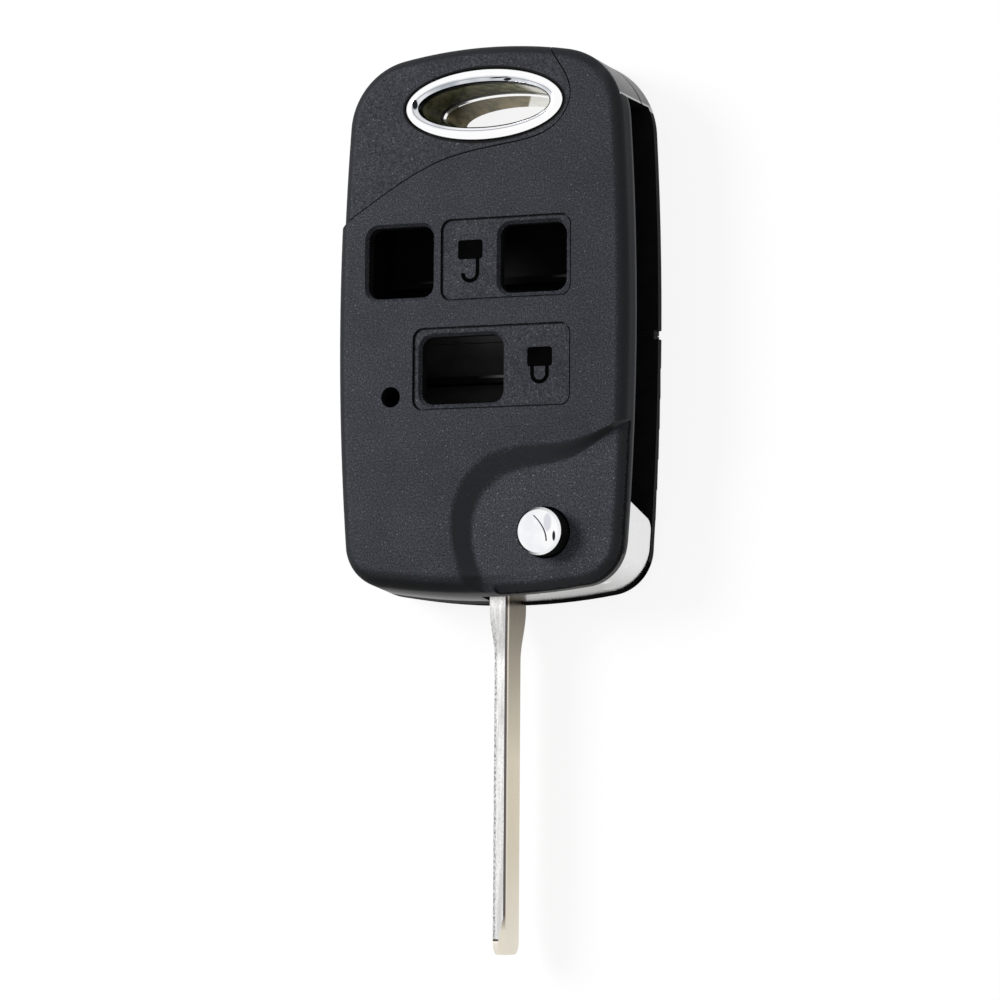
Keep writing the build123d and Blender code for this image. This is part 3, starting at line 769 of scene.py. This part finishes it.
def swept_oval(profile):
    """A closed profile swept round the ring's middle; each point is its two half widths and its level."""
    shape = bmesh.new()
    loops = []
    for step in range(RING_STEPS):
        angle = 2 * math.pi * step / RING_STEPS
        turn = Vector((math.cos(angle), math.sin(angle)))
        loops.append([
            shape.verts.new((RING_MIDDLE.x + half.x * turn.x, RING_MIDDLE.y + half.y * turn.y, level))
            for half, level in profile
        ])
    count = len(profile)
    for first, second in zip(loops, loops[1:] + loops[:1]):
        for i in range(count):
            face = shape.faces.new((first[i], second[i], second[(i + 1) % count], first[(i + 1) % count]))
            face.material_index = 0 if i < DOME_STEPS else 1
    bmesh.ops.recalc_face_normals(shape, faces=shape.faces)
    return shape


def domed_ring(band, sleeve_metal):
    """The front ring with a rounded band, its sleeve reaching down to the ledge."""
    inner, outer = BAND_INNER, Vector(RING_HALF.xy)
    foot = RING_HIGH.z - BAND_RISE
    turns = [math.pi * i / DOME_STEPS for i in range(DOME_STEPS + 1)]
    profile = [(inner.lerp(outer, (1 - math.cos(turn)) / 2), foot + BAND_RISE * math.sin(turn))
               for turn in turns]
    sleeve = inner.lerp(outer, SLEEVE_SHARE)
    profile += [(sleeve, foot), (sleeve, RING_LOW.z), (inner, RING_LOW.z)]
    ring = add_piece("domed_ring", swept_oval(profile), [band, sleeve_metal], "housing")
    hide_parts("front_ring")
    smooth_shade(ring)


def ledge_lip(metal):
    """The narrow bright lip on the tunnel's ledge, which slopes in a little."""
    inner = LEDGE_OUTER - Vector((LEDGE_WIDTH, LEDGE_WIDTH))
    drop = LEDGE_SLOPE * LEDGE_WIDTH
    shares = [i / DOME_STEPS for i in range(DOME_STEPS + 1)]
    profile = [(LEDGE_OUTER.lerp(inner, share), LEDGE_LEVEL - drop * share) for share in shares]
    foot = LEDGE_LEVEL - LEDGE_WIDTH
    profile += [(inner, foot), (LEDGE_OUTER, foot)]
    lip = add_piece("ledge_lip", swept_oval(profile), [metal, metal], "housing")
    smooth_shade(lip)


def pressed_spring(metal):
    """The spring, dressed on a mesh of its own."""
    spring = dressed_copy("flip_spring", "housing", [metal], lambda place, normal: 0)
    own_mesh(spring)


def stroke(shape, path, width):
    """A flat line of a width along a path of points, as quads in a bmesh."""
    sides = []
    for i, point in enumerate(path):
        before, after = path[max(i - 1, 0)], path[min(i + 1, len(path) - 1)]
        across = (after - before).normalized().orthogonal() * width / 2
        sides.append((shape.verts.new((*(point + across), 0)), shape.verts.new((*(point - across), 0))))
    for (a, b), (c, d) in zip(sides, sides[1:]):
        shape.faces.new((a, b, d, c))


def arc(centre, radius, start, end, steps=16):
    """Points on an arc between two angles in degrees."""
    turns = (math.radians(start + (end - start) * i / steps) for i in range(steps + 1))
    return [centre + Vector((math.cos(turn), math.sin(turn))) * radius for turn in turns]


def padlock(name, place, lifted, material):
    """Padlock sign, upside down in view: a rounded body and a shackle, closed or lifted off."""
    shape = bmesh.new()
    half, height = MARK_BODY.x / 2, MARK_BODY.y
    outline = []
    for x, y, start in ((half, height, 0), (-half, height, 90), (-half, 0, 180), (half, 0, 270)):
        inset = Vector((math.copysign(MARK_ROUND, x), MARK_ROUND if y else -MARK_ROUND))
        outline += arc(Vector((x, y)) - inset, MARK_ROUND, start, start + 90, 6)
    shape.faces.new([shape.verts.new((*point, 0)) for point in outline])
    centre = Vector((0, -SHACKLE_DROP - lifted))
    foot = Vector((SHACKLE_RADIUS, SHACKLE_OVERLAP))
    rest = Vector((-SHACKLE_RADIUS, (centre.y if lifted else foot.y) + SHACKLE_TAIL))
    stroke(shape, [foot, *arc(centre, SHACKLE_RADIUS, 0, -180), rest], MARK_LINE)
    raised = bmesh.ops.extrude_face_region(shape, geom=list(shape.faces))
    for vertex in (item for item in raised["geom"] if isinstance(item, bmesh.types.BMVert)):
        vertex.co.z += MARK_RISE
    bmesh.ops.recalc_face_normals(shape, faces=shape.faces)
    bmesh.ops.translate(shape, verts=shape.verts, vec=place + Vector((0, 0, PANEL_LEVEL)))
    add_piece(name, shape, [material], "housing")


def outside_of_case(place, normal):
    """Whether a face is on the outside of the case: on the face side, or on a side wall looking out."""
    if normal.z > FACE_SIDE:
        return place.z > FACE_LEVEL - EDGE_HEIGHT
    if normal.z < BACK_SIDE:
        return place.z < BACK_SKIN
    outward = Vector((place.x - CASE_MIDDLE.x, place.y - CASE_MIDDLE.y))
    half = CASE_HIGH - CASE_MIDDLE
    near_side = half.x - abs(outward.x) < WALL_REACH or half.y - abs(outward.y) < WALL_REACH
    return near_side and outward.dot(normal.xy) > LOOKS_OUT * outward.length


def outer_face(normal):
    """A face on the outside is an end wall where it stands upright and looks along the case."""
    return END_WALL if abs(normal.z) < UPRIGHT and abs(normal.y) > LOOKS_ALONG else OUTSIDE


def cover_face(place, normal):
    """Which of the front cover's materials a face takes; its lower edge counts as outside."""
    if outside_of_case(place, normal):
        return outer_face(normal)
    on_low_edge = place.y < CASE_LOW.y + EDGE_HEIGHT and place.z > FACE_LEVEL - EDGE_HEIGHT
    return OUTSIDE if on_low_edge else INSIDE


def back_face(place, normal):
    """Which of the back's materials a face takes; inside, rib tops and the lower room's floor differ."""
    if outside_of_case(place, normal):
        return outer_face(normal)
    if normal.z > FLAT and abs(place.x) < CASE_HIGH.x - RIB_REACH:
        if abs(place.z - RIB_LEVEL) < RIB_TOLERANCE:
            return RIB_TOP
        if place.z < FLOOR_LEVEL and place.y < LOWER_ROOM_END:
            return FLOOR
    return INSIDE


def button_face(place, normal):
    """The button's materials in turn: bright cap, painted shade below, bevelled edge."""
    if place.z < FLANGE_LEVEL or normal.z < 0.3:
        return 1
    return 0 if normal.z > FLAT else 2


def ring_face(place, normal):
    """The rear ring's materials in turn: plated back, wall of the tunnel, ledge."""
    if abs(normal.z) < FLAT:
        return 1
    return 2 if normal.z > 0 else 0


def head_face(place, normal):
    """The head's materials in turn: silver block, painted shade on the hub round the pivot."""
    return 1 if math.hypot(place.x - PIVOT.x, place.y - PIVOT.y) < SHADED_HUB_RADIUS else 0


bpy.context.scene.view_settings.view_transform = "Standard"
make_camera()
make_world()
make_floor()
make_lamp()

charcoal = charcoal_plastic()
end_wall = charcoal_side()
black = black_plastic("black_plastic", 0.003, 0.005, 0.45, 0.03)
# Black plastic of the back's inside; on the charcoal front cover's inside faces, on the button below its cap
# and on the head's hub it is painted shade
inside_black_and_shade = black_plastic("inside_black_and_shade", 0.005, 0.008, 0.6, 0.03)
floor_black = black_plastic("floor_black", 0.020, 0.032, 0.5, 0.15)
rim_black = black_plastic("rim_black", 0.002, 0.004, 0.9, 0.0)
rib_edge = rib_plastic()
mark_black = black_plastic("mark_black", 0.001, 0.002, 0.7, 0.0)
chrome = plated("bright_chrome", (0.88, 0.89, 0.90), (0.95, 0.95, 0.96), 0.06)
band_chrome = ring_chrome()
ledge_chrome = plated("ledge_chrome", (0.93, 0.93, 0.94), (0.97, 0.97, 0.97), 0.1, depth=0.001 * MM)
sleeve_wall = tunnel_metal("sleeve_wall", (0.100, 0.115, 0.045), (0.42, 0.40, 0.235),
                           SLEEVE_LEVELS, SLEEVE_PALE)
lower_wall = tunnel_metal("lower_wall", (0.118, 0.103, 0.044), (0.32, 0.262, 0.145),
                          LOWER_LEVELS, LOWER_PALE, lean=LOWER_LEAN, metallic=1.0)
cap_chrome = button_chrome()
cap_rim = button_rim()
silver = head_silver()
nickel = blade_nickel()
steel = plated("plain_steel", (0.42, 0.42, 0.42), (0.52, 0.52, 0.53), 0.3)
dark_zinc = plated("dark_zinc", (0.16, 0.16, 0.17), (0.24, 0.24, 0.25), 0.35)

# The front cover's inside faces, the walls of its windows, slot and grooves, take the black as painted shade
front = dressed_copy("front_cover", "housing", [charcoal, inside_black_and_shade, end_wall], cover_face)
soften(front)
rear_materials = [black, inside_black_and_shade, rim_black, rib_edge, floor_black]
dressed_copy("rear_cover", "housing", rear_materials, back_face)
lid_materials = [black, inside_black_and_shade, end_wall, rib_edge, floor_black]
dressed_copy("board_lid", "housing", lid_materials, back_face)
domed_ring(band_chrome, sleeve_wall)
ledge_lip(ledge_chrome)
dressed_copy("rear_ring", "housing", [chrome, lower_wall, ledge_chrome], ring_face)
dressed_copy("release_button", "button", [cap_chrome, inside_black_and_shade, cap_rim], button_face)
dressed_copy("flip_head", "flip_arm", [silver, inside_black_and_shade], head_face)
dress("key_blade", nickel)
dress("blade_pin", steel)
pressed_spring(steel)
dress("spring_cup", steel)
dress("case_screws", dark_zinc)
padlock("open_mark", OPEN_MARK, MARK_LIFT, mark_black)
padlock("closed_mark", CLOSED_MARK, 0, mark_black)
